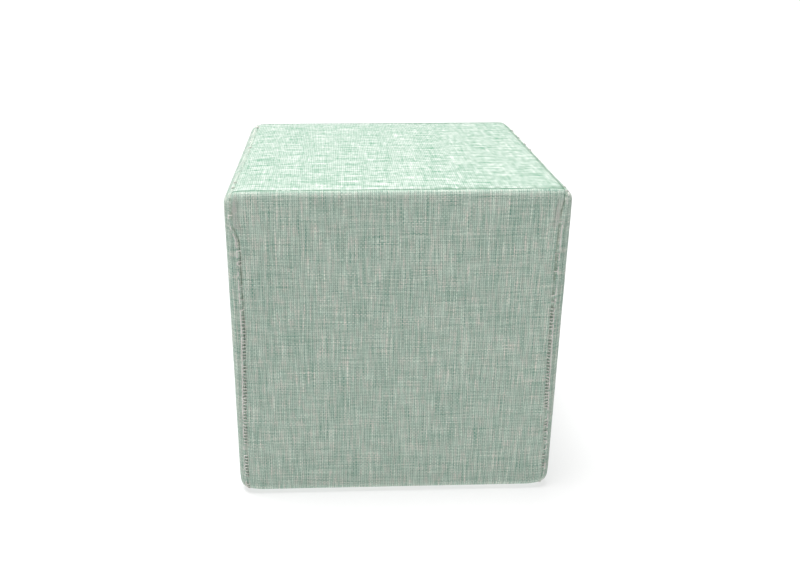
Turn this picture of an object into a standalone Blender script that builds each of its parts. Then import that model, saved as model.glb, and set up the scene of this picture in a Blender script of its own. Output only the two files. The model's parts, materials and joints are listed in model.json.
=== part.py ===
"""Cube pouf stool: a soft filled cube in a cloth cover sewn from three pieces.

One long band wraps the front, the seat top, the back and the base, over the filling. A square
panel closes each side, turns over the rounded edge and is sewn to the band all the way round.
X runs from left to right, the front faces -Y, and the base rests on Z = 0.
"""

import math

import bmesh
import bpy

# Driving sizes, in metres.
SIDE = 0.400  # width and depth overall, across the crowns
CROWN = 0.003  # how far each filled face swells past its edges; the base is pressed flat
EDGE_RADIUS = 0.014  # rounding where a side panel turns over towards the band
TURN_RADIUS = 0.015  # rounding where the band turns from face to face
CLOTH = 0.002  # thickness of the cover cloth
GAP = 0.0003  # clearance between sewn pieces
SEAM_DIP = 0.0014  # how deep the sewing draws the cloth in
SEAM_REACH = 0.012  # how far from the seam the cloth has come back to its line
LEVEL_HALF = 0.100  # half width of each face's middle, where the swell has levelled out
LEVEL_CORNER = 0.030  # corner radius of the levelled middle of a side panel

# Sizes that follow.
BOX_HALF = SIDE / 2 - CROWN  # half the cube's side between its edges
SEAM_X = BOX_HALF - EDGE_RADIUS  # the seam lies where the rounded edge begins
FLAT_HALF = BOX_HALF - TURN_RADIUS  # half the flat run between two turns of the band

# How finely the cloth is faceted.
TURN_STEPS = 4
EDGE_ANGLES = (12, 28, 47, 68, 90)  # degrees round the edge, from the seam to the side face
FACE_STEPS = 3
SEAM_STEPS = (0.0, 0.3, 0.65, 1.0)  # stations across SEAM_REACH
SWELL_STEPS = (0.34, 0.67, 1.0)  # stations from the end of SEAM_REACH to the levelled middle

COVER_COLOUR = (0.43, 0.52, 0.45, 1.0)
COVER_ROUGHNESS = 0.9
SHARP_ANGLE = math.radians(40)  # a bend sharper than this is shaded as an edge


def level(distance):
    """1 over the levelled middle of a face, falling smoothly to 0 at its edge."""
    rise = (BOX_HALF - abs(distance)) / (BOX_HALF - LEVEL_HALF)
    rise = min(max(rise, 0.0), 1.0)
    return rise * rise * (3.0 - 2.0 * rise)


def swollen(x, y, z):
    """The point moved outwards by the crown of the face it is on. The base stays flat."""
    up = z - BOX_HALF
    return (
        x * (1.0 + CROWN / BOX_HALF * level(y) * level(up)),
        y * (1.0 + CROWN / BOX_HALF * level(x) * level(up)),
        z * (1.0 + CROWN / (2 * BOX_HALF) * level(x) * level(y)),
    )


def seam_dip(distance):
    """How far the skin is drawn in at this distance from the seam, measured along the cloth."""
    return SEAM_DIP * max(0.0, 1.0 - abs(distance) / SEAM_REACH) ** 2


def side_stops():
    """Where a ring's straight side is divided, as shares of its half length."""
    middle = LEVEL_HALF / FLAT_HALF
    outer = [middle + (1.0 - middle) * step / FACE_STEPS for step in range(FACE_STEPS)]
    return [-stop for stop in reversed(outer)] + outer


def ring(x, half, radius):
    """A rounded square round the X axis through the cube's centre, as swollen points."""
    flat = half - radius
    points = []
    for quarter in range(4):
        turn = math.radians(90 * quarter)
        run = [(half, stop * flat) for stop in side_stops()]
        for step in range(TURN_STEPS + 1):
            angle = math.radians(90 * step / TURN_STEPS)
            run.append((flat + radius * math.cos(angle), flat + radius * math.sin(angle)))
        for out, along in run:
            y = out * math.cos(turn) - along * math.sin(turn)
            up = out * math.sin(turn) + along * math.cos(turn)
            points.append(swollen(x, y, BOX_HALF + up))
    return points


def face_rings(depth):
    """Rings over a side face from its levelled middle out to the rounded edge."""
    rings = []
    for step in range(FACE_STEPS):
        share = step / FACE_STEPS
        half = LEVEL_HALF + (SEAM_X - LEVEL_HALF) * share
        corner = LEVEL_CORNER + (TURN_RADIUS - EDGE_RADIUS - LEVEL_CORNER) * share
        rings.append(ring(BOX_HALF - depth, half, corner))
    return rings


def edge_ring(degrees, depth):
    """A ring on the rounded edge: 0 degrees at the seam, 90 at the side face."""
    angle = math.radians(degrees)
    bend = EDGE_RADIUS - depth
    half = SEAM_X + bend * math.cos(angle) - seam_dip(EDGE_RADIUS * angle)
    corner = TURN_RADIUS - EDGE_RADIUS + bend * math.cos(angle)
    return ring(SEAM_X + bend * math.sin(angle), half, corner)


def wrapped_end_rings(depth):
    """Rings from the middle of a side face round the edge, stopping just short of the seam."""
    return face_rings(depth) + [edge_ring(degrees, depth) for degrees in reversed(EDGE_ANGLES)]


def band_ring(distance, depth=0.0):
    """A ring of the band at this distance inside its own edge."""
    half = BOX_HALF - depth - seam_dip(distance)
    return ring(SEAM_X - GAP - distance, half, TURN_RADIUS - depth)


def mirrored(rings):
    """The same rings on the other side of the cube, in order away from the first."""
    return [[(-x, y, z) for x, y, z in points] for points in reversed(rings)]


def lofted_mesh(name, rings):
    """One closed skin through the rings, with a flat face over the first and the last."""
    bm = bmesh.new()
    loops = [[bm.verts.new(point) for point in points] for points in rings]
    for near, far in zip(loops, loops[1:]):
        for index in range(len(near)):
            after = (index + 1) % len(near)
            bm.faces.new((near[index], near[after], far[after], far[index]))
    bm.faces.new(reversed(loops[0]))
    bm.faces.new(loops[-1])
    bmesh.ops.recalc_face_normals(bm, faces=bm.faces)
    mesh = bpy.data.meshes.new(name)
    bm.to_mesh(mesh)
    bm.free()
    mesh.shade_smooth()
    mesh.set_sharp_from_angle(angle=SHARP_ANGLE)
    return mesh


def cloth_material(name):
    material = bpy.data.materials.new(name)
    material.use_nodes = True
    shader = material.node_tree.nodes["Principled BSDF"]
    shader.inputs["Base Color"].default_value = COVER_COLOUR
    shader.inputs["Roughness"].default_value = COVER_ROUGHNESS
    shader.inputs["Metallic"].default_value = 0.0
    return material


def add_piece(name, mesh, turn=0.0):
    piece = bpy.data.objects.new(name, mesh)
    piece.rotation_euler.z = turn
    bpy.context.collection.objects.link(piece)
    return piece


def centre_band_mesh():
    """The band and the filling it holds: full size between the seams, and one cloth thickness
    smaller under each side panel."""
    under_panel = wrapped_end_rings(CLOTH + GAP)
    under_panel.append(band_ring(0.0, CLOTH + GAP))
    reach = SEAM_X - GAP - SEAM_REACH - LEVEL_HALF
    distances = [SEAM_REACH * step for step in SEAM_STEPS]
    distances += [SEAM_REACH + reach * step for step in SWELL_STEPS]
    half = under_panel + [band_ring(distance) for distance in distances]
    return lofted_mesh("centre_band", half + mirrored(half))


def side_panel_mesh():
    """A square of cloth, crowned with the filling behind it and turned over all four edges."""
    outside = wrapped_end_rings(0.0) + [edge_ring(0, 0.0)]
    inside = wrapped_end_rings(CLOTH) + [edge_ring(0, CLOTH)]
    return lofted_mesh("side_panel", outside + inside[::-1])


def clear_scene():
    for item in list(bpy.data.objects):
        bpy.data.objects.remove(item)


clear_scene()

band = centre_band_mesh()
band.materials.append(cloth_material("band_cloth"))
add_piece("centre_band", band)

panel = side_panel_mesh()
panel.materials.append(cloth_material("panel_cloth"))
add_piece("side_panel_right", panel)
add_piece("side_panel_left", panel, turn=math.pi)
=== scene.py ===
import json
import math

import bmesh
import bpy
import numpy as np
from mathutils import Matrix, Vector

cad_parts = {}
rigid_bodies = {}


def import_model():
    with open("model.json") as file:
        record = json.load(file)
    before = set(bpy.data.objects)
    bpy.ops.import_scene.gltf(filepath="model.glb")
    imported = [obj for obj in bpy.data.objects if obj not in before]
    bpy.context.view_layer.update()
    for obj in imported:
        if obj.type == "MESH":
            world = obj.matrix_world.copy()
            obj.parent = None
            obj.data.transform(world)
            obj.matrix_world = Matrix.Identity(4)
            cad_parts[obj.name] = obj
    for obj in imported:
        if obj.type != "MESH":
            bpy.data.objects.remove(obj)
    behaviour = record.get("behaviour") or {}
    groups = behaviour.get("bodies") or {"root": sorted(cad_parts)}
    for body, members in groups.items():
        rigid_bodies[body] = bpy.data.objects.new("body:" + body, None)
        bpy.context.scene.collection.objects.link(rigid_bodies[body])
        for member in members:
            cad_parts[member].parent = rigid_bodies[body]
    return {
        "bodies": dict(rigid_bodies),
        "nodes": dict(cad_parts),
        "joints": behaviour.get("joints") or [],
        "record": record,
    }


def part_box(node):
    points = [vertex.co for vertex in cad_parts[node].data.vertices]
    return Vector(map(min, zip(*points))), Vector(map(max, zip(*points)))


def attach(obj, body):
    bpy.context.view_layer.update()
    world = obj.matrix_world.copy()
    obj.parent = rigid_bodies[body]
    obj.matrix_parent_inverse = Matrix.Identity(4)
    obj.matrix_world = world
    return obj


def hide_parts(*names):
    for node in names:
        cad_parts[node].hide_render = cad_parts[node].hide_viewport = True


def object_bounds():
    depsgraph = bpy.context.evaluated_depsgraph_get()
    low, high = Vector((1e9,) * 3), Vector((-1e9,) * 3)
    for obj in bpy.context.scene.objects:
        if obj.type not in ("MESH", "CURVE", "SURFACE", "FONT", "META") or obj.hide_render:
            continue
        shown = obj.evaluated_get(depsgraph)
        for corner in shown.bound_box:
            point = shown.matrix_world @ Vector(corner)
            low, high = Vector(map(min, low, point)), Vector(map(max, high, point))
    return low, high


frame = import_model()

cad_low, cad_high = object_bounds()

# ---------------------------------------------------------------------------------------------
# The centre band. One long strip of slubby linen-look upholstery cloth, stretched round the
# filling over the front, the seat top, the back and the base. Its two long edges are turned in
# and sewn to the side panels, which draws them down into a groove and puckers them a little.

width = cad_high.x - cad_low.x
crown = width - (cad_high.z - cad_low.z)  # the base is pressed flat, so it has no crown
half = width / 2 - crown  # half the cube's side between its edges
seam_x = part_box("side_panel_right")[0][0]  # where the two seams lie on average
edge_radius = half - seam_x  # the side panels turn over this rounding
edge_arc = edge_radius * math.pi / 2
turn_radius = 0.015  # the band turns from face to face over this one

ring_step = 0.00125  # how finely the cloth is faceted along a seam
turn_cuts = 10  # facets in half a turn of the band
fine_share = 4  # the middle of a side panel is this many times coarser


def round_the_cube(values, side_length):
    """Starts a ring of values in the middle of the base, where a maker joins the band's ends."""
    return np.roll(values, -(3 * side_length + side_length // 2), axis=0)


def turn_profile(bends):
    """A turn of the band from one face to the next, as arcs of (radius, degrees, facets). It
    gives each point's place, as shares of the turn radius, and which way the cloth faces."""
    angle, out, along = [0.0], [1.0], [0.0]
    for radius, degrees, facets in bends:
        for _ in range(facets):
            step = math.radians(degrees) / facets
            middle = angle[-1] + step / 2
            length = radius * 2 * math.sin(step / 2)
            out.append(out[-1] - length * math.sin(middle))
            along.append(along[-1] + length * math.cos(middle))
            angle.append(angle[-1] + step)
    return np.array(angle), np.array(out), np.array(along) - along[-1] + 1.0


# A base edge is evenly round. At the seat the cloth is pressed over the filling in a crease, and
# rolls gently from there into the upright face.
even_turn = turn_profile([(1.0, 90, 2 * turn_cuts)])
crease_angle = 38
roll, fold = turn_profile([(1.1, 15, 3), (0.6, crease_angle - 15, 4), (0.2, 90 - crease_angle, 7)]), 6
run_on = np.linspace(roll[1][-1], 0.0, fold + 1)[1:]
seat_turn = (
    np.append(roll[0], np.full(fold, math.pi / 2)),
    np.append(roll[1], run_on),
    np.append(roll[2], np.ones(fold)),
)


def reversed_turn(turn):
    angle, out, along = turn
    return math.pi / 2 - angle[::-1], along[::-1], out[::-1]


corner_turns = [seat_turn, reversed_turn(seat_turn), even_turn, even_turn]  # after each side
even_corners = [even_turn] * 4
flat_cuts = 4 * round((half - turn_radius) / ring_step / 2)
flat_share = np.linspace(-1.0, 1.0, flat_cuts + 1)
side_length = flat_cuts + 2 * turn_cuts


def ring_of(corners):
    """Share along the flat, angle, and place across and along the turn, of each ring point."""
    rows = []
    for number in range(4):
        before, after = corners[number - 1], corners[number]
        lead, tail = slice(turn_cuts, -1), slice(1, turn_cuts)
        flat = np.ones(flat_cuts + 1)
        rows.append((
            np.concatenate([-np.ones(turn_cuts), flat_share, np.ones(turn_cuts - 1)]),
            np.concatenate([before[0][lead] - math.pi / 2, 0 * flat, after[0][tail]]),
            np.concatenate([before[2][lead], flat, after[1][tail]]),
            np.concatenate([-before[1][lead], 0 * flat, after[2][tail]]),
        ))
    return [round_the_cube(np.concatenate(values), side_length) for values in zip(*rows)]


ring_count = 4 * side_length
ring_share, ring_angle, turn_out, turn_along = ring_of(corner_turns)
_, even_angle, even_out, even_along = ring_of(even_corners)
ring_side = round_the_cube(np.repeat(np.arange(4), side_length), side_length)
# The four sides in turn: front going up, seat going back, back going down, base coming forward.
side_out = np.array([(-1.0, 0.0), (0.0, 1.0), (1.0, 0.0), (0.0, -1.0)])
ring_out = side_out[ring_side]
ring_along = side_out[(ring_side + 1) % 4]


def section(ring_half, ring_radius, evenness=0.0):
    """A rounded square round the X axis, as (y, height above the middle). evenness takes its
    corners from pressed ones to evenly round ones."""
    core = ring_half - ring_radius
    out = core + ring_radius * (turn_out + evenness * (even_out - turn_out))
    along = ring_share * core + ring_radius * (turn_along + evenness * (even_along - turn_along))
    return out[:, None] * ring_out + along[:, None] * ring_along


nominal = section(half, turn_radius)
ring_steps = np.linalg.norm(np.roll(nominal, -1, axis=0) - nominal, axis=1)
ring_run = np.concatenate([[0.0], np.cumsum(ring_steps)[:-1]])  # distance along the band
run_length = ring_steps.sum()
# 0 to 1 up the front, 1 to 2 over the seat, 2 to 3 down the back and 3 to 4 under the base.
ring_place = ring_side + 0.5 + 0.5 * np.einsum("ij,ij->i", nominal, ring_along) / half


swell_cuts = 20  # cells across a face of the trial cover
filling_pressure = 4.0
filling_frames = 20


def swell_of_a_face():
    """Fills a coarse cube cover tight with Cloth, and gives how a face of it swells: a square of
    shares, 0 at the face's edges and 1 in its middle."""
    made = bmesh.new()
    bmesh.ops.create_cube(made, size=2 * half)
    bmesh.ops.subdivide_edges(made, edges=made.edges[:], cuts=swell_cuts - 1, use_grid_fill=True)
    mesh = bpy.data.meshes.new("trial_cover")
    made.to_mesh(mesh)
    made.free()
    trial = bpy.data.objects.new("trial_cover", mesh)
    bpy.context.scene.collection.objects.link(trial)
    filling = trial.modifiers.new("filling", "CLOTH")
    filling.settings.quality = 8
    filling.settings.tension_stiffness = 40.0
    filling.settings.compression_stiffness = 40.0
    filling.settings.shear_stiffness = 20.0
    filling.settings.bending_stiffness = 5.0
    filling.settings.use_pressure = True
    filling.settings.uniform_pressure_force = filling_pressure
    filling.settings.effector_weights.gravity = 0.0
    filling.point_cache.frame_start = 1
    filling.point_cache.frame_end = filling_frames
    flat = np.array([v.co[:] for v in mesh.vertices])
    for frame in range(1, filling_frames + 1):
        bpy.context.scene.frame_set(frame)
    graph = bpy.context.evaluated_depsgraph_get()
    filled = np.array([v.co[:] for v in trial.evaluated_get(graph).data.vertices])
    bpy.data.objects.remove(trial)
    bpy.data.meshes.remove(mesh)
    bpy.context.scene.frame_set(1)
    # The swell is the mean over the six faces, each turned over in every way.
    total = np.zeros((swell_cuts + 1, swell_cuts + 1))
    cell = 2 * half / swell_cuts
    for axis in range(3):
        for hand in (-1, 1):
            face = np.abs(flat[:, axis] - hand * half) < cell / 10
            others = [k for k in range(3) if k != axis]
            column, row = np.round((flat[face][:, others] + half) / cell).astype(int).T
            swell = np.zeros_like(total)
            swell[column, row] = hand * (filled - flat)[face][:, axis]
            for turned in (swell, swell.T):
                total += turned + turned[::-1] + turned[:, ::-1] + turned[::-1, ::-1]
    edge = np.concatenate([total[0], total[-1], total[:, 0], total[:, -1]]).max()
    swell = np.clip((total - edge) / (total.max() - edge), 0.0, 1.0)
    return np.round(swell, 3)


face_swell = swell_of_a_face()


def swell_at(a, b):
    """The swell at places on a face, measured both ways from its middle."""
    cell = 2 * half / swell_cuts
    across = np.clip(a / cell + swell_cuts / 2, 0.0, swell_cuts - 1e-6)
    along = np.clip(b / cell + swell_cuts / 2, 0.0, swell_cuts - 1e-6)
    i, j = across.astype(int), along.astype(int)
    u, v = across - i, along - j
    near = face_swell[i, j] * (1.0 - v) + face_swell[i, j + 1] * v
    far = face_swell[i + 1, j] * (1.0 - v) + face_swell[i + 1, j + 1] * v
    return near * (1.0 - u) + far * u


corner_pull = 0.0014  # how far the base corners are drawn in
corner_start, corner_reach = 0.008, 0.032  # fully at the first distance, not at all at the second


def skin(out, hand):
    """The cover's points and outward normals on one side of the cube. out is how far along the
    cloth each point of the ring lies beyond the start of the rounded edge, towards the side."""
    bend = np.clip(out / edge_radius, 0.0, math.pi / 2)
    on_face = np.maximum(out - edge_arc, 0.0)
    ring_half = seam_x + edge_radius * np.cos(bend) - on_face
    ring_radius = turn_radius - edge_radius + edge_radius * np.cos(bend) + 0.35 * on_face
    ring_radius = np.minimum(ring_radius, 0.6 * ring_half)
    x = seam_x + np.minimum(out, 0.0) + edge_radius * np.sin(bend)
    evenness = np.clip(bend / math.radians(60), 0.0, 1.0)
    evenness = evenness * evenness * (3.0 - 2.0 * evenness)
    across = section(ring_half, ring_radius, evenness)
    y, up = across[:, 0], across[:, 1]
    points = np.stack([
        hand * x * (1.0 + crown / half * swell_at(y, up)),
        y * (1.0 + crown / half * swell_at(x, up)),
        (up + half) * (1.0 + crown / (2 * half) * swell_at(x, y)),
    ], axis=1)
    angle = ring_angle + evenness * (even_angle - ring_angle)
    # The four base corners, where three sides meet, are drawn in a little more.
    from_corner = np.linalg.norm(half - np.abs(points - (0.0, 0.0, half)), axis=1)
    nearness = np.clip((corner_reach - from_corner) / (corner_reach - corner_start), 0.0, 1.0)
    pull = corner_pull * nearness * nearness * (3.0 - 2.0 * nearness) * (points[:, 2] < half)
    points = points - np.sign(points - (0.0, 0.0, half)) * (pull / math.sqrt(3))[:, None]
    facing = np.cos(angle)[:, None] * ring_out + np.sin(angle)[:, None] * ring_along
    normals = np.stack([
        hand * np.sin(bend),
        np.cos(bend) * facing[:, 0],
        np.cos(bend) * facing[:, 1],
    ], axis=1)
    return points, normals, across


# How far in from the cube's side the sewing has drawn each seam, in millimetres, at places
# round the ring.
left_seam = {
    "place": (0.02, 0.20, 0.30, 0.42, 0.58, 0.86, 0.91, 0.99, 1.10, 1.30, 1.50, 1.70, 2.1, 2.5, 3.0, 3.5),
    "inset": (10.0, 10.8, 12.0, 14.2, 16.3, 16.0, 7.8, 7.4, 10.4, 10.4, 12.6, 12.0, 12.0, 14.5, 11.0, 14.0),
}
right_seam = {
    "place": (0.03, 0.20, 0.30, 0.41, 0.60, 0.88, 0.94, 0.99, 1.06, 1.5, 1.94, 2.1, 2.5, 3.0, 3.5),
    "inset": (9.2, 10.4, 12.5, 14.0, 15.4, 15.2, 13.6, 9.0, 6.0, 5.4, 6.0, 10.0, 14.0, 10.5, 13.0),
}
seam_smoothing = 15  # how many points of the ring a turn of the seam is eased over


def seam_reach(seam):
    """How far each point of a seam lies beyond the start of the rounded edge."""
    inset = np.interp(ring_place, seam["place"], seam["inset"], period=4) / 1000
    ease = np.hanning(seam_smoothing)
    ends = seam_smoothing // 2
    joined = np.concatenate([inset[-ends:], inset, inset[:ends]])
    return edge_radius - np.convolve(joined, ease / ease.sum(), "valid")


def ripple(seed, wavelength):
    """A smooth random wave round a seam, between -1 and 1."""
    knots = round(run_length / wavelength)
    heights = np.random.default_rng(seed).uniform(-1.0, 1.0, knots)
    place = ring_run / run_length * knots
    low = np.floor(place).astype(int)
    share = place - low
    share = share * share * (3.0 - 2.0 * share)
    return heights[low % knots] * (1.0 - share) + heights[(low + 1) % knots] * share


dip_depth = 0.0012  # how deep the stitches draw the cloth in round a seam
dip_reach = 0.012
groove_depth = 0.0006  # how far a turned-in edge rolls down into the seam
groove_roll = 0.0011
fine_pucker, fine_length, fine_reach = 0.00030, 0.0045, 0.0040  # from stitch to stitch
broad_pucker, broad_length, broad_reach = 0.00035, 0.013, 0.0090


def drawn_in(distance, seed):
    """How deep the sewing has drawn the cloth in at this distance from the seam."""
    dip = dip_depth * np.maximum(0.0, 1.0 - distance / dip_reach) ** 2
    rolled = groove_depth * np.exp(-(distance / groove_roll) ** 1.5)
    fine = fine_pucker * ripple(seed, fine_length) * np.exp(-distance / fine_reach)
    broad = broad_pucker * ripple(seed + 1, broad_length) * np.exp(-distance / broad_reach)
    return dip + rolled + fine + broad


def ring_faces(rows, columns):
    """Faces between rows of points, each row a closed ring."""
    row, column = np.meshgrid(np.arange(rows - 1), np.arange(columns), indexing="ij")
    after = (column + 1) % columns
    near, far = row * columns, (row + 1) * columns
    quads = np.stack([near + column, near + after, far + after, far + column], axis=-1)
    return quads.reshape(-1, 4).tolist()


def add_cloth(name, points, faces, cloth_at, seam_at):
    """A closed piece of cloth. Its two UV maps are in metres: where each point lies in the flat
    cloth, and how far it lies from the seam and along it."""
    mesh = bpy.data.meshes.new(name)
    mesh.from_pydata(points.tolist(), [], faces)
    corner = np.empty(len(mesh.loops), np.int32)
    mesh.loops.foreach_get("vertex_index", corner)
    starts = np.empty(len(mesh.polygons), np.int32)
    mesh.polygons.foreach_get("loop_start", starts)
    for layer_name, places in (("cloth", cloth_at), ("seam", seam_at)):
        flat = places[corner].copy()
        run = flat[:, 1]
        spread = np.maximum.reduceat(run, starts) - np.minimum.reduceat(run, starts)
        sizes = np.diff(np.append(starts, len(corner)))
        crossing = np.repeat(spread > 0.75 * run_length, sizes)
        run[crossing & (run < run_length / 2)] += run_length
        mesh.uv_layers.new(name=layer_name).data.foreach_set("uv", flat.ravel())
    mesh.shade_smooth()
    piece = bpy.data.objects.new(name, mesh)
    bpy.context.scene.collection.objects.link(piece)
    mesh.calc_loop_triangles()
    a, b, c = points[np.array([t.vertices[:] for t in mesh.loop_triangles])].transpose(1, 0, 2)
    if np.einsum("ij,ij->i", a, np.cross(b, c)).sum() < 0:
        mesh.flip_normals()
    return piece


cloth_thickness = 0.0018
seam_gap = 0.00006  # each piece stops this far short of the middle of the seam
under_gap = 0.0004  # between a side panel and the filling under it
across_band = (0.0, 0.3, 0.6, 0.9, 1.3, 1.8, 2.4, 3.1, 4.0, 5.0, 6.2, 7.8, 10.0, 13.0, 17.0, 23.0,
               31.0, 42.0, 56.0, 73.0, 92.0, 110.0, 128.0, 146.0, 165.0)
under_panel = (84.0, 50.0, 30.0, 20.0, 13.0, 8.0, 5.0, 3.0, 1.6, 0.8, 0.0)
wander_reach = 0.040  # how far into the band the wander of a seam is felt
left_seed, right_seed = 11, 23
panel_seed = 40  # added for a side panel, and for the filling under it, so that they pucker alike


def band_rings(hand, seam, seed):
    """Rings of the band from under a side panel, up over the seam's edge and in to the middle."""
    reach = seam_reach(seam)
    points, across, distances = [], [], []
    for millimetres in under_panel:
        distance = millimetres / 1000
        out = np.minimum(reach + distance, edge_arc + under_panel[0] / 1000)
        at, normal, _ = skin(out, hand)
        depth = drawn_in(distance, seed + panel_seed) + cloth_thickness + under_gap
        points.append(at - depth[:, None] * normal)
        across.append(out)
        distances.append(np.full(ring_count, -distance))
    for millimetres in across_band:
        distance = millimetres / 1000
        out = (reach - seam_gap) * max(0.0, 1.0 - distance / wander_reach) ** 2 - distance
        at, normal, _ = skin(out, hand)
        points.append(at - drawn_in(distance, seed)[:, None] * normal)
        across.append(out)
        distances.append(np.full(ring_count, distance))
    return points, across, distances


left_points, left_across, left_distances = band_rings(-1, left_seam, left_seed)
right_points, right_across, right_distances = band_rings(1, right_seam, right_seed)
middle, _, _ = skin(np.full(ring_count, -seam_x), 1)
band_points = np.concatenate(left_points + [middle] + right_points[::-1])
band_x = [-(seam_x + out) for out in left_across] + [np.zeros(ring_count)]
band_x += [seam_x + out for out in right_across[::-1]]
band_distance = left_distances + [np.full(ring_count, seam_x)] + right_distances[::-1]
row_count = len(band_x)
runs = np.tile(ring_run, row_count)
band_faces = ring_faces(row_count, ring_count)
band_faces.append(list(range(ring_count))[::-1])
band_faces.append(list(range(len(band_points) - ring_count, len(band_points))))
band = add_cloth(
    "centre_band_cloth",
    band_points,
    band_faces,
    np.stack([np.concatenate(band_x), runs], axis=1),
    np.stack([np.concatenate(band_distance), runs], axis=1),
)


# The cloth: a plain weave of thick and thin yarns, pale flax and sea green spun unevenly, so
# that each yarn shows as streaks. The group makes its colour and its relief.

class Group:
    """Adds nodes to a shader node tree, each with its inputs given in order."""

    def __init__(self, tree):
        self.tree = tree

    def node(self, kind, *inputs, **settings):
        made = self.tree.nodes.new(kind)
        for name, value in settings.items():
            setattr(made, name, value)
        for socket, value in zip(made.inputs, inputs):
            if isinstance(value, bpy.types.NodeSocket):
                self.tree.links.new(value, socket)
            elif value is not None:
                socket.default_value = value
        return made

    def maths(self, operation, *inputs):
        return self.node("ShaderNodeMath", *inputs, operation=operation).outputs[0]

    def add(self, a, b):
        return self.maths("ADD", a, b)

    def times(self, a, b):
        return self.maths("MULTIPLY", a, b)

    def minus(self, a, b):
        return self.maths("SUBTRACT", a, b)

    def between(self, value, low, high, low_out=0.0, high_out=1.0):
        """value carried smoothly from the range low to high into low_out to high_out."""
        made = self.node("ShaderNodeMapRange", interpolation_type="SMOOTHSTEP")
        self.tree.links.new(value, made.inputs["Value"])
        made.inputs["From Min"].default_value = low
        made.inputs["From Max"].default_value = high
        made.inputs["To Min"].default_value = low_out
        made.inputs["To Max"].default_value = high_out
        return made.outputs[0]

    def within(self, value, start, rise, fall, end):
        """1 where value lies from rise to fall, and 0 before start and past end."""
        return self.times(self.between(value, start, rise), self.between(value, fall, end, 1.0, 0.0))

    def noise(self, x, y, detail=1.0):
        """Smooth noise of two lengths, about 0 and mostly between -1 and 1."""
        place = self.node("ShaderNodeCombineXYZ", x, y).outputs[0]
        made = self.node("ShaderNodeTexNoise", noise_dimensions="2D")
        self.tree.links.new(place, made.inputs["Vector"])
        made.inputs["Scale"].default_value = 1.0
        made.inputs["Detail"].default_value = detail
        return self.times(self.minus(made.outputs[0], 0.5), 3.2)

    def mix(self, share, a, b):
        made = self.node("ShaderNodeMix", data_type="RGBA", clamp_factor=False)
        for socket, value in zip((made.inputs[0], made.inputs[6], made.inputs[7]), (share, a, b)):
            if isinstance(value, bpy.types.NodeSocket):
                self.tree.links.new(value, socket)
            else:
                socket.default_value = value
        return made.outputs[2]


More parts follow.
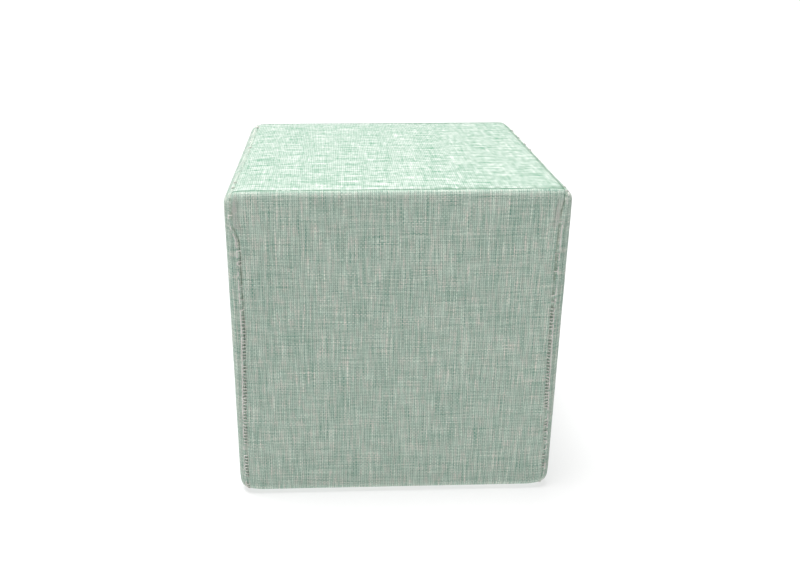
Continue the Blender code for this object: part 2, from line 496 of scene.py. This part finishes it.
def plain_weave():
    """The weave's node group, from a place in the flat cloth to a colour and a height."""
    tree = bpy.data.node_groups.new("plain_weave", "ShaderNodeTree")
    for name, kind, default in (
        ("Cloth", "NodeSocketVector", None),
        ("Yarn Step", "NodeSocketFloat", 0.00235),
        ("Pale Yarn", "NodeSocketColor", (0.805, 0.91, 0.80, 1.0)),
        ("Warm Yarn", "NodeSocketColor", (0.90, 0.87, 0.79, 1.0)),
        ("Green Yarn", "NodeSocketColor", (0.29, 0.465, 0.375, 1.0)),
        ("Warp Strands", "NodeSocketFloat", 0.68),
        ("Warp Pairs", "NodeSocketFloat", 0.28),
        ("Weft Strands", "NodeSocketFloat", 0.53),
        ("Weft Pairs", "NodeSocketFloat", 0.40),
        ("Weft Bands", "NodeSocketFloat", 0.0),
        ("Grain", "NodeSocketFloat", 0.0),
        ("Slubs", "NodeSocketFloat", 0.20),
        ("Hollow Shade", "NodeSocketFloat", 0.48),
        ("Warp Gap Shade", "NodeSocketFloat", 0.18),
    ):
        socket = tree.interface.new_socket(name, in_out="INPUT", socket_type=kind)
        if default is not None:
            socket.default_value = default
    tree.interface.new_socket("Color", in_out="OUTPUT", socket_type="NodeSocketColor")
    tree.interface.new_socket("Height", in_out="OUTPUT", socket_type="NodeSocketFloat")
    g = Group(tree)
    given = g.node("NodeGroupInput").outputs
    parts = g.node("ShaderNodeSeparateXYZ", given["Cloth"]).outputs
    across, along = parts[0], parts[1]
    # The yarns wander a little, as loosely spun cloth does.
    drift_x = g.times(g.noise(g.times(across, 35.0), g.times(along, 14.0)), 0.0007)
    drift_y = g.times(g.noise(g.times(across, 14.0), g.add(g.times(along, 35.0), 50.0)), 0.0007)
    a = g.maths("DIVIDE", g.add(across, drift_x), given["Yarn Step"])
    b = g.maths("DIVIDE", g.add(along, drift_y), given["Yarn Step"])
    warp, weft = g.maths("FLOOR", a), g.maths("FLOOR", b)
    from_warp = g.minus(g.minus(a, warp), 0.5)
    from_weft = g.minus(g.minus(b, weft), 0.5)
    # Each yarn is two strands laid side by side, often one pale and one green, and each strand's
    # colour comes and goes along it.
    warp_strand = g.maths("FLOOR", g.times(a, 2.0))
    weft_strand = g.maths("FLOOR", g.times(b, 2.0))
    warp_hand = g.minus(g.times(g.minus(warp_strand, g.times(warp, 2.0)), 2.0), 1.0)
    weft_hand = g.minus(g.times(g.minus(weft_strand, g.times(weft, 2.0)), 2.0), 1.0)

    def tone(base, *layers):
        total = base
        for strength, noise in layers:
            total = g.add(total, g.times(noise, strength))
        return total

    warp_slub = g.between(g.noise(g.times(warp, 5.13), g.add(g.times(along, 17.0), 30.0)), 0.55, 0.85)
    weft_slub = g.between(g.noise(g.add(g.times(across, 20.0), 9.0), g.times(weft, 4.71)), 0.55, 0.85)
    warp_tone = tone(
        0.46,
        (given["Warp Strands"], g.noise(g.times(warp_strand, 3.13), g.times(along, 24.0), 2.0)),
        (given["Warp Pairs"], g.times(warp_hand, g.noise(g.times(warp, 3.71), g.times(along, 16.0)))),
        (0.05, g.noise(g.times(across, 120.0), g.times(along, 9.0))),
        (given["Slubs"], warp_slub),
    )
    # Streaks of weft show where a side panel's cloth is strained, and on the seat as painted light and shade
    # of the weave's relief; a coarser grain shows on the seat.
    weft_bands = g.noise(g.times(across, 28.0), g.add(g.times(along, 300.0), 20.0), 0.0)
    grain = g.noise(g.times(across, 165.0), g.add(g.times(along, 100.0), 70.0))
    weft_tone = tone(
        0.46,
        (given["Weft Strands"], g.noise(g.times(across, 26.0), g.times(weft_strand, 3.37), 2.0)),
        (given["Weft Pairs"], g.times(weft_hand, g.noise(g.times(across, 20.0), g.times(weft, 4.19)))),
        (0.05, g.noise(g.times(across, 11.0), g.times(along, 120.0))),
        (given["Slubs"], weft_slub),
    )
    # Over and under: the warp is up where the two counts add to an even number.
    warp_sign = g.minus(1.0, g.times(g.maths("FLOORED_MODULO", warp, 2.0), 2.0))
    weft_sign = g.minus(1.0, g.times(g.maths("FLOORED_MODULO", weft, 2.0), 2.0))
    warp_wave = g.times(warp_sign, g.maths("SINE", g.times(b, math.pi)))
    weft_wave = g.times(g.times(weft_sign, g.maths("SINE", g.times(a, math.pi))), -1.0)

    def yarn_height(offset, wave, slub):
        thickness = g.add(0.95, g.times(slub, 0.45))
        from_middle = g.maths("DIVIDE", g.times(offset, 2.0), thickness)
        rounded = g.minus(1.0, g.times(from_middle, from_middle))
        return g.add(g.add(g.times(rounded, 0.55), g.times(wave, 0.35)), g.times(slub, 0.25))

    warp_height = yarn_height(from_warp, warp_wave, warp_slub)
    weft_height = yarn_height(from_weft, weft_wave, weft_slub)
    height = g.maths("MAXIMUM", warp_height, weft_height)
    # The spinning is loose, so each yarn shows a little between the strands that cross it.
    warp_up = g.between(g.minus(warp_height, weft_height), -0.08, 0.08, 0.24, 0.88)
    shown = g.add(weft_tone, g.times(warp_up, g.minus(warp_tone, weft_tone)))
    shown = g.add(shown, g.times(weft_bands, given["Weft Bands"]))
    shown = g.add(shown, g.times(grain, given["Grain"]))
    shown = g.maths("MINIMUM", g.maths("MAXIMUM", shown, -0.25), 1.15)
    warmth = g.between(g.noise(g.times(across, 260.0), g.add(g.times(along, 60.0), 5.0)), -0.5, 0.9)
    pale = g.mix(warmth, given["Pale Yarn"], given["Warm Yarn"])
    colour = g.mix(shown, given["Green Yarn"], pale)
    hollow = g.between(height, -0.05, 0.5, 1.0, 0.0)
    gap = g.between(g.maths("ABSOLUTE", from_warp), 0.22, 0.5)
    shade = g.minus(1.0, g.add(g.times(hollow, given["Hollow Shade"]), g.times(gap, given["Warp Gap Shade"])))
    shaded = g.node("ShaderNodeVectorMath", colour, operation="SCALE")
    tree.links.new(shade, shaded.inputs["Scale"])
    out = g.node("NodeGroupOutput")
    tree.links.new(shaded.outputs[0], out.inputs["Color"])
    tree.links.new(height, out.inputs["Height"])
    return tree


weave = plain_weave()


def run_at(place):
    """The distance along the band of a place round the ring."""
    order = np.argsort(ring_place)
    return float(np.interp(place, ring_place[order], ring_run[order]))


def turn_middle(side_number):
    """The distance along the band of the middle of the turn before a side."""
    return float(ring_run[(side_number * side_length - 3 * side_length - side_length // 2) % ring_count])


seat_start, seat_end = turn_middle(1), turn_middle(2)
fold_start, fold_end = run_at(0.885), run_at(0.985)


def paint_light_on_the_seat(g, cloth, on_seat, across):
    """On the seat the weft shows in streaks of painted light and shade, standing in for the weave's relief
    under the overhead light, with a coarser grain, and the yarns are painted whiter and greener, as the
    brightly lit top looks.
    """
    link = g.tree.links.new
    # Painted light and shade: streaks of weft on the seat stand in for the weave's relief under the overhead
    # light.
    link(g.times(on_seat, 0.28), cloth.inputs["Weft Bands"])
    link(g.times(on_seat, g.between(across, -0.05, 0.13, 0.19, 0.25)), cloth.inputs["Grain"])
    link(g.minus(0.68, g.times(on_seat, 0.34)), cloth.inputs["Warp Strands"])
    link(g.minus(0.28, g.times(on_seat, 0.16)), cloth.inputs["Warp Pairs"])
    # Painted light: the seat's yarns are whiter and greener, as the brightly lit top looks.
    for yarn, plain, seat_lit_colour in (
        ("Warm Yarn", (0.90, 0.87, 0.79, 1.0), (0.90, 0.93, 0.88, 1.0)),
        ("Pale Yarn", (0.805, 0.91, 0.80, 1.0), (0.88, 0.93, 0.87, 1.0)),
        ("Green Yarn", (0.29, 0.465, 0.375, 1.0), (0.24, 0.47, 0.33, 1.0)),
    ):
        link(g.mix(on_seat, plain, seat_lit_colour), cloth.inputs[yarn])


def paint_light_at_the_seat_edges(g, colour, across, along):
    """At the seat's pressed edges painted shade lies in the crease as dark dashes between the warps, and
    as dark dots behind it that grow towards the right, where the edge turns from the light; the cloth
    behind carries a painted white highlight, stronger to the left."""
    to_right = g.between(across, -0.060, 0.090)
    for crease, inward in ((seat_start, 1.0), (seat_end, -1.0)):
        past = g.times(g.minus(along, crease), inward)
        # Painted highlight where the pressed edge catches the overhead light, stronger to the left.
        white = g.within(past, 0.0080, 0.0100, 0.0140, 0.0180)
        white = g.times(white, g.between(to_right, 0.0, 1.0, 0.42, 0.10))
        white = g.times(white, g.between(g.noise(g.times(across, 90.0), 3.0), -0.8, 0.6, 0.4, 1.0))
        colour = g.mix(white, colour, (0.97, 0.97, 0.95, 1.0))
        # Painted shade in the crease, broken into dashes between the warps.
        line = g.between(g.maths("ABSOLUTE", g.minus(past, 0.0056)), 0.0012, 0.0028, 1.0, 0.0)
        dashes = g.noise(g.times(across, 240.0), g.times(across, 11.0))
        dashes = g.between(dashes, -0.8, 0.0, 0.3, 1.0)
        colour = g.mix(g.times(g.times(line, dashes), 0.80), colour, (0.14, 0.28, 0.19, 1.0))
        # Painted shade in dots behind the crease, growing to the right.
        patch = g.between(g.maths("ABSOLUTE", g.minus(past, 0.0100)), 0.0030, 0.0060, 1.0, 0.0)
        dots = g.noise(g.times(across, 130.0), g.add(g.times(across, 9.0), 4.0))
        dark = g.times(g.times(patch, g.between(dots, -0.2, 0.5)), g.times(to_right, 0.50))
        colour = g.mix(dark, colour, (0.12, 0.27, 0.17, 1.0))
    return colour


def lay_the_fold(g, colour, across, from_seam, seam_run):
    """Below the seat's corners a fold of the band lies smooth beside the seam, paler in patches, with a
    darker line along its outer edge.
    """
    fold_run = g.within(seam_run, fold_start, fold_start + 0.006, fold_end - 0.006, fold_end)
    fold = g.times(g.within(from_seam, 0.0009, 0.0016, 0.0055, 0.0068), fold_run)
    fold_pale_patches = g.noise(g.times(across, 300.0), g.times(seam_run, 70.0))
    fold_pale_patches = g.between(fold_pale_patches, -0.6, 0.7, 0.15, 0.60)
    colour = g.mix(g.times(fold, fold_pale_patches), colour, (0.58, 0.54, 0.51, 1.0))
    fold_edge = g.times(g.within(from_seam, 0.0060, 0.0068, 0.0070, 0.0080), fold_run)
    return g.mix(g.times(fold_edge, 0.40), colour, (0.12, 0.17, 0.13, 1.0))


def strain_panel_paint_edge_light(g, cloth, from_seam, seam_run):
    """Turned over the edge, a side panel is strained, so bands of its weft stand out. Along its folded
    edge a pale painted highlight lies in places, with a faint painted shade behind it."""
    g.tree.links.new(g.between(from_seam, 0.004, 0.022, 0.15, 0.02), cloth.inputs["Weft Bands"])
    highlight_patches = g.between(g.noise(g.times(seam_run, 120.0), g.times(seam_run, 5.0)), -0.2, 0.9)
    # Painted highlight on the folded edge, in patches.
    painted_ridge_highlight = g.times(g.within(from_seam, 0.0014, 0.0026, 0.0040, 0.0052), highlight_patches)
    colour = g.mix(g.times(painted_ridge_highlight, 0.40), cloth.outputs["Color"], (0.74, 0.73, 0.69, 1.0))
    # Painted shade in a faint hollow behind the folded edge.
    hollow = g.within(from_seam, 0.0046, 0.0062, 0.0076, 0.0105)
    return g.mix(g.times(hollow, 0.16), colour, (0.13, 0.21, 0.17, 1.0))


def shade_the_seam(g, colour, from_seam, seam_run, on_seat):
    """The seam's groove is shaded in patches, less on the seat and low down the front."""
    patches = g.between(g.noise(g.times(seam_run, 110.0), g.times(seam_run, 7.0)), -0.6, 0.8)
    shade = g.times(g.between(from_seam, 0.0005, 0.0020, 0.40, 0.0), patches)
    shade = g.times(shade, g.between(seam_run, run_at(0.30), run_at(0.66), 0.25, 1.0))
    shade = g.times(shade, g.minus(1.0, g.times(on_seat, 0.7)))
    return g.mix(shade, colour, (0.10, 0.140, 0.065, 1.0))


def paint_shade_on_the_right_edge(g, colour, across, from_seam, on_seat):
    """Along the seat's right edge, which turns away from the light, the seam lies close to the outline,
    and painted dark green shade over it shows as a green line.
    """
    # Painted shade: the right rounding's shaded side, as a dark green line.
    painted_right_shade = g.times(on_seat, g.between(across, 0.10, 0.15))
    painted_right_shade = g.times(painted_right_shade, g.between(from_seam, 0.0016, 0.0062, 0.82, 0.0))
    return g.mix(painted_right_shade, colour, (0.11, 0.24, 0.15, 1.0))


def cloth_finish(name, is_band):
    """The weave with what sewing has done to it, and with painted light and shade at the seat, its
    edges and its seams, on the band or on the side panels.
    """
    material = bpy.data.materials.new(name)
    material.use_nodes = True
    tree = material.node_tree
    g = Group(tree)
    shader = tree.nodes["Principled BSDF"]
    shader.inputs["Roughness"].default_value = 0.92
    shader.inputs["Specular IOR Level"].default_value = 0.12
    shader.inputs["Sheen Weight"].default_value = 0.15
    shader.inputs["Sheen Roughness"].default_value = 0.5
    place = g.node("ShaderNodeUVMap", uv_map="cloth").outputs[0]
    across, along = g.node("ShaderNodeSeparateXYZ", place).outputs[:2]
    cloth = g.node("ShaderNodeGroup", node_tree=weave)
    tree.links.new(place, cloth.inputs["Cloth"])
    seam = g.node("ShaderNodeUVMap", uv_map="seam").outputs[0]
    from_seam, seam_run = g.node("ShaderNodeSeparateXYZ", seam).outputs[:2]
    on_seat = g.within(seam_run, seat_start, seat_start + 0.004, seat_end - 0.004, seat_end)
    if is_band:
        paint_light_on_the_seat(g, cloth, on_seat, across)
        colour = paint_light_at_the_seat_edges(g, cloth.outputs["Color"], across, along)
        colour = lay_the_fold(g, colour, across, from_seam, seam_run)
    else:
        colour = strain_panel_paint_edge_light(g, cloth, from_seam, seam_run)
    colour = shade_the_seam(g, colour, from_seam, seam_run, on_seat)
    if is_band:
        colour = paint_shade_on_the_right_edge(g, colour, across, from_seam, on_seat)
    bump = g.node("ShaderNodeBump")
    bump.inputs["Distance"].default_value = 0.0003
    tree.links.new(cloth.outputs["Height"], bump.inputs["Height"])
    tree.links.new(colour, shader.inputs["Base Color"])
    tree.links.new(bump.outputs[0], shader.inputs["Normal"])
    return material


band.data.materials.append(cloth_finish("band_cloth", is_band=True))
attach(band, "root")
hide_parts("centre_band")

# ---------------------------------------------------------------------------------------------
# The side panels. Each is a square of the same cloth, stretched over the filling on one side,
# turned over the rounded edge and folded in at the seam.

across_panel = (0.0, 0.3, 0.6, 0.9, 1.3, 1.8, 2.4, 3.1, 4.0, 5.0, 6.2, 7.8, 9.6, 11.8, 14.2, 17.0)
across_face = (0.0, 4.0, 10.0, 20.0, 34.0, 50.0, 66.0, 83.0)
coarse_face = (83.0, 103.0, 123.0, 143.0, 160.0, 172.0)
panel_margin = 0.019  # width of the panel that the wander of its seam is felt over


def panel_rings(hand, seam, seed, depth):
    """Rings of one face of a side panel, from its seam in to the middle, at this depth."""
    reach = seam_reach(seam)
    rows = []
    for millimetres in across_panel:
        distance = millimetres / 1000
        share = distance / panel_margin
        out = reach + seam_gap + distance + (edge_arc - panel_margin - reach) * share ** 2
        rows.append((out, distance))
    for millimetres in across_face:
        out = np.full(ring_count, edge_arc + millimetres / 1000)
        rows.append((out, panel_margin + millimetres / 1000))
    points, cloth_at, seam_at = [], [], []
    for out, distance in rows:
        at, normal, across = skin(out, hand)
        points.append(at - (drawn_in(distance, seed) + depth)[:, None] * normal)
        beyond = np.maximum(edge_arc - out, 0.0)
        core = half - turn_radius
        radius = turn_radius - edge_radius + beyond
        cut = (core + radius * turn_out)[:, None] * ring_out
        cut += (ring_share * core + radius * turn_along)[:, None] * ring_along
        cloth_at.append(np.where((beyond > 0)[:, None], cut, across))
        seam_at.append(np.stack([np.full(ring_count, distance), ring_run], axis=1))
    for millimetres in coarse_face[1:]:
        out = np.full(ring_count, edge_arc + millimetres / 1000)
        at, normal, across = skin(out, hand)
        from_seam = np.full(ring_count, panel_margin + millimetres / 1000)
        points.append((at - depth * normal)[::fine_share])
        cloth_at.append(across[::fine_share])
        seam_at.append(np.stack([from_seam, ring_run], axis=1)[::fine_share])
    return points, cloth_at, seam_at


def panel_faces(first, row_count):
    """Faces of the fine rings, the row where they turn coarse, the coarse rings and the middle."""
    faces = (np.array(ring_faces(row_count, ring_count)) + first).tolist()
    coarse_count = ring_count // fine_share
    edge = first + (row_count - 1) * ring_count
    start = edge + ring_count
    for step in range(coarse_count):
        fine = [edge + (step * fine_share + k) % ring_count for k in range(fine_share + 1)]
        faces.append(fine + [start + (step + 1) % coarse_count, start + step])
    rows = len(coarse_face) - 1
    faces += (np.array(ring_faces(rows, coarse_count)) + start).tolist()
    middle = start + (rows - 1) * coarse_count
    faces.append(list(range(middle, middle + coarse_count)))
    return faces


def add_side_panel(name, hand, seam, seed):
    """A panel with its outer face, its inner face and the cut edge that joins them."""
    outside = panel_rings(hand, seam, seed, 0.0)
    inside = panel_rings(hand, seam, seed, cloth_thickness)
    points = np.concatenate(outside[0] + inside[0])
    cloth_at = np.concatenate(outside[1] + inside[1])
    seam_at = np.concatenate(outside[2] + inside[2])
    fine_rows = len(across_panel) + len(across_face)
    inner = sum(len(ring) for ring in outside[0])
    faces = panel_faces(0, fine_rows)
    faces += [face[::-1] for face in panel_faces(inner, fine_rows)]
    for near in range(ring_count):
        after = (near + 1) % ring_count
        faces.append([after, near, inner + near, inner + after])
    return add_cloth(name, points, faces, cloth_at, seam_at)


panel_cloth = cloth_finish("panel_cloth", is_band=False)
# Cut flat, a panel is the flat of the side and the turn over the edge on each of its sides.
for name, hand, seam, seed in (
    ("side_panel_left", -1, left_seam, left_seed + panel_seed),
    ("side_panel_right", 1, right_seam, right_seed + panel_seed),
):
    panel = add_side_panel(name + "_cloth", hand, seam, seed)
    panel.data.materials.append(panel_cloth)
    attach(panel, "root")
    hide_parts(name)

# ---------------------------------------------------------------------------------------------
# The seam thread. A thick pale thread sews each panel to the band by hand: ladder stitches cross
# the groove from edge to edge, and shorter ones lie along the panel's folded edge.

thread_radius = 0.0006


def stitch_row():
    """Stitches set out along a path. The path's points say which way is out of the cloth, and
    what share of the stitches shows there."""
    tree = bpy.data.node_groups.new("stitch_row", "GeometryNodeTree")
    tree.interface.new_socket("Path", in_out="INPUT", socket_type="NodeSocketGeometry")
    for name, kind, default in (
        ("Step", "NodeSocketFloat", 0.0036),
        ("Length", "NodeSocketFloat", 0.0036),
        ("Thread Radius", "NodeSocketFloat", thread_radius),
        ("Arch", "NodeSocketFloat", 0.0010),
        ("Turn", "NodeSocketFloat", 0.0),
        ("Waver", "NodeSocketFloat", 0.2),
        ("Seed", "NodeSocketInt", 1),
        ("Thread", "NodeSocketMaterial", None),
    ):
        socket = tree.interface.new_socket(name, in_out="INPUT", socket_type=kind)
        if default is not None:
            socket.default_value = default
    tree.interface.new_socket("Stitches", in_out="OUTPUT", socket_type="NodeSocketGeometry")
    g = Group(tree)
    given = g.node("NodeGroupInput").outputs
    path = g.node("GeometryNodeMeshToCurve", given["Path"]).outputs[0]
    spaced = g.node("GeometryNodeResampleCurve", mode="LENGTH")
    tree.links.new(path, spaced.inputs["Curve"])
    tree.links.new(given["Step"], spaced.inputs["Length"])
    # One stitch: a short arched piece of thread, its ends sunk in the cloth.
    sunk = g.times(given["Arch"], -1.0)
    half_length = g.times(given["Length"], 0.5)
    start = g.node("ShaderNodeCombineXYZ", g.times(half_length, -1.0), 0.0, sunk).outputs[0]
    top = g.node("ShaderNodeCombineXYZ", 0.0, 0.0, given["Arch"]).outputs[0]
    end = g.node("ShaderNodeCombineXYZ", half_length, 0.0, sunk).outputs[0]
    arch = g.node("GeometryNodeCurveQuadraticBezier", 5, start, top, end).outputs[0]
    round_thread = g.node("GeometryNodeCurvePrimitiveCircle")
    round_thread.inputs["Resolution"].default_value = 6
    tree.links.new(given["Thread Radius"], round_thread.inputs["Radius"])
    stitch = g.node("GeometryNodeCurveToMesh")
    tree.links.new(arch, stitch.inputs["Curve"])
    tree.links.new(round_thread.outputs[0], stitch.inputs["Profile Curve"])
    stitch.inputs["Fill Caps"].default_value = True
    # Each lies flat to the cloth and turned to the path, and none is quite like the next.
    outward = g.node("GeometryNodeInputNamedAttribute", "outward", data_type="FLOAT_VECTOR").outputs[0]
    along = g.node("GeometryNodeInputTangent").outputs[0]
    upright = g.node("FunctionNodeAlignRotationToVector", None, None, outward, axis="Z").outputs[0]
    facing = g.node(
        "FunctionNodeAlignRotationToVector", upright, None, along, axis="X", pivot_axis="Z"
    ).outputs[0]

    def random_between(low, high, seed_step):
        made = g.node("FunctionNodeRandomValue", data_type="FLOAT")
        floats = [socket for socket in made.inputs if socket.type == "VALUE"]
        for socket, value in zip(floats, (low, high)):
            if isinstance(value, bpy.types.NodeSocket):
                tree.links.new(value, socket)
            else:
                socket.default_value = value
        tree.links.new(g.add(given["Seed"], seed_step), made.inputs["Seed"])
        return [socket for socket in made.outputs if socket.type == "VALUE"][0]

    waver = random_between(g.times(given["Waver"], -1.0), given["Waver"], 1)
    spin = g.node("FunctionNodeAxisAngleToRotation", (0.0, 0.0, 1.0), g.add(given["Turn"], waver))
    turned = g.node("FunctionNodeRotateRotation", facing, spin.outputs[0], rotation_space="LOCAL")
    size = random_between(0.8, 1.15, 2)
    scale = g.node("ShaderNodeCombineXYZ", size, random_between(0.8, 1.2, 3), 1.0).outputs[0]
    shown = g.node("GeometryNodeInputNamedAttribute", "shown", data_type="FLOAT").outputs[0]
    chosen = g.node("FunctionNodeCompare", shown, random_between(0.0, 1.0, 4), data_type="FLOAT")
    chosen.operation = "GREATER_THAN"
    placed = g.node("GeometryNodeInstanceOnPoints")
    tree.links.new(spaced.outputs[0], placed.inputs["Points"])
    tree.links.new(chosen.outputs[0], placed.inputs["Selection"])
    tree.links.new(stitch.outputs[0], placed.inputs["Instance"])
    tree.links.new(turned.outputs[0], placed.inputs["Rotation"])
    tree.links.new(scale, placed.inputs["Scale"])
    real = g.node("GeometryNodeRealizeInstances", placed.outputs[0]).outputs[0]
    smooth = g.node("GeometryNodeSetShadeSmooth", real).outputs[0]
    finished = g.node("GeometryNodeSetMaterial", smooth)
    tree.links.new(given["Thread"], finished.inputs["Material"])
    out = g.node("NodeGroupOutput")
    tree.links.new(finished.outputs[0], out.inputs["Stitches"])
    return tree


def thread_finish():
    """Two-ply thread: pale, with its twist showing as slanting shade."""
    material = bpy.data.materials.new("seam_thread")
    material.use_nodes = True
    tree = material.node_tree
    g = Group(tree)
    shader = tree.nodes["Principled BSDF"]
    shader.inputs["Roughness"].default_value = 0.8
    shader.inputs["Specular IOR Level"].default_value = 0.2
    place = g.node("ShaderNodeTexCoord").outputs["Object"]
    x, y, z = g.node("ShaderNodeSeparateXYZ", place).outputs
    twist = g.maths("SINE", g.times(g.add(g.add(x, y), z), 2 * math.pi / 0.0011))
    patchy = g.node("ShaderNodeTexNoise", place)
    patchy.inputs["Scale"].default_value = 160.0
    shade = g.add(g.times(twist, 0.22), g.times(g.minus(patchy.outputs[0], 0.5), 1.6))
    paleness = g.maths("MINIMUM", g.maths("MAXIMUM", g.add(shade, 0.5), 0.0), 1.0)
    colour = g.mix(paleness, (0.70, 0.69, 0.64, 1.0), (0.94, 0.92, 0.88, 1.0))
    bump = g.node("ShaderNodeBump")
    bump.inputs["Distance"].default_value = 0.00004
    tree.links.new(twist, bump.inputs["Height"])
    tree.links.new(bump.outputs[0], shader.inputs["Normal"])
    tree.links.new(colour, shader.inputs["Base Color"])
    return material


stitches = stitch_row()
seam_thread = thread_finish()


def add_stitches(name, points, outward, shown, **inputs):
    """A row of stitches round the cube. The inputs are those of stitch_row, in metres."""
    count = len(points)
    mesh = bpy.data.meshes.new(name)
    mesh.from_pydata(points.tolist(), [(k, (k + 1) % count) for k in range(count)], [])
    mesh.attributes.new("outward", "FLOAT_VECTOR", "POINT").data.foreach_set("vector", outward.ravel())
    mesh.attributes.new("shown", "FLOAT", "POINT").data.foreach_set("value", shown)
    row = bpy.data.objects.new(name + "_path", mesh)
    bpy.context.scene.collection.objects.link(row)
    modifier = row.modifiers.new("stitches", "NODES")
    modifier.node_group = stitches
    items = stitches.interface.items_tree
    sockets = {item.name: item.identifier for item in items if item.in_out == "INPUT"}
    inputs["Thread"] = seam_thread
    for socket_name, value in inputs.items():
        modifier[sockets[socket_name.replace("_", " ")]] = value
    graph = bpy.context.evaluated_depsgraph_get()
    made = bpy.data.meshes.new_from_object(row.evaluated_get(graph))
    bpy.data.objects.remove(row)
    made.name = name
    piece = bpy.data.objects.new(name, made)
    bpy.context.scene.collection.objects.link(piece)
    return piece


# The share of stitches that shows, round the ring: they lie deep where the seat presses on them.
ladder_shown = np.interp(
    ring_place,
    (0.0, 0.25, 0.35, 0.60, 0.70, 1.0, 2.0, 2.4, 3.5),
    (0.5, 0.6, 0.95, 0.9, 0.35, 0.05, 0.10, 0.7, 0.6),
    period=4,
)
edge_shown = np.interp(
    ring_place,
    (0.0, 0.20, 0.32, 0.58, 0.66, 0.86, 0.92, 1.5, 2.2, 3.5),
    (0.3, 0.35, 0.95, 0.95, 0.5, 0.6, 0.08, 0.04, 0.6, 0.4),
    period=4,
)
ladder_past_seam, ladder_sunk = 0.0010, 0.0001
edge_past_seam, edge_sunk = 0.0034, 0.0003
for side_name, hand, seam, seed in (("left", -1, left_seam, 5), ("right", 1, right_seam, 6)):
    reach = seam_reach(seam)
    at, normal, _ = skin(reach + ladder_past_seam, hand)
    ladder = add_stitches(
        "seam_thread_" + side_name, at - ladder_sunk * normal, normal, ladder_shown,
        Step=0.0043, Length=0.0050, Arch=0.0011, Turn=math.pi / 2, Waver=0.30, Seed=seed * 10,
    )
    at, normal, _ = skin(reach + edge_past_seam, hand)
    edge = add_stitches(
        "edge_thread_" + side_name, at - edge_sunk * normal, normal, edge_shown,
        Step=0.0043, Length=0.0047, Thread_Radius=0.0008, Arch=0.0007, Turn=0.0, Waver=0.12,
        Seed=seed * 10 + 3,
    )
    for thread in (ladder, edge):
        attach(thread, "root")

# ---------------------------------------------------------------------------------------------
# The floor, the lights and the camera. The floor is white and glows a little, like the top of a
# light table, and one broad lamp hangs overhead.

floor_reach = 30.0
floor_mesh = bpy.data.meshes.new("floor")
corners = [(-1, -1), (1, -1), (1, 1), (-1, 1)]
floor_mesh.from_pydata([(x * floor_reach, y * floor_reach, 0.0) for x, y in corners], [], [(0, 1, 2, 3)])
floor = bpy.data.objects.new("floor", floor_mesh)
bpy.context.scene.collection.objects.link(floor)
paint = bpy.data.materials.new("floor_paint")
paint.use_nodes = True
shader = paint.node_tree.nodes["Principled BSDF"]
shader.inputs["Base Color"].default_value = (0.33, 0.33, 0.33, 1.0)
shader.inputs["Roughness"].default_value = 1.0
shader.inputs["Emission Color"].default_value = (1.0, 1.0, 1.0, 1.0)
shader.inputs["Emission Strength"].default_value = 0.67
shader.inputs["Specular IOR Level"].default_value = 0.0
floor_mesh.materials.append(paint)

world = bpy.data.worlds.new("studio")
bpy.context.scene.world = world
world.use_nodes = True
g = Group(world.node_tree)
background = world.node_tree.nodes["Background"]
background.inputs["Color"].default_value = (1.0, 1.0, 1.0, 1.0)
# The room is dim, but looks white behind the stool.
seen = g.node("ShaderNodeLightPath").outputs["Is Camera Ray"]
world.node_tree.links.new(g.add(g.times(seen, 0.86), 0.14), background.inputs["Strength"])

sun = bpy.data.lights.new("overhead", "SUN")
sun.energy = 4.2
sun.angle = math.radians(32)
lamp = bpy.data.objects.new("overhead", sun)
lamp.rotation_euler = (math.radians(-3), math.radians(-9), 0.0)
bpy.context.scene.collection.objects.link(lamp)

camera_data = bpy.data.cameras.new("camera")
camera_data.lens = 39.66
camera_data.sensor_width = 36.0
camera_data.shift_x = 0.0443
camera = bpy.data.objects.new("camera", camera_data)
side = 2 * half  # the camera stands nearly three sides in front of the middle of the stool
camera.location = (-0.18627 * side, -2.90565 * side, 1.66601 * side)
camera.rotation_euler = (math.radians(90 - 21.8656), 0.0, math.radians(-2.0548))
bpy.context.scene.collection.objects.link(camera)
bpy.context.scene.camera = camera
bpy.context.scene.view_settings.view_transform = "Standard"
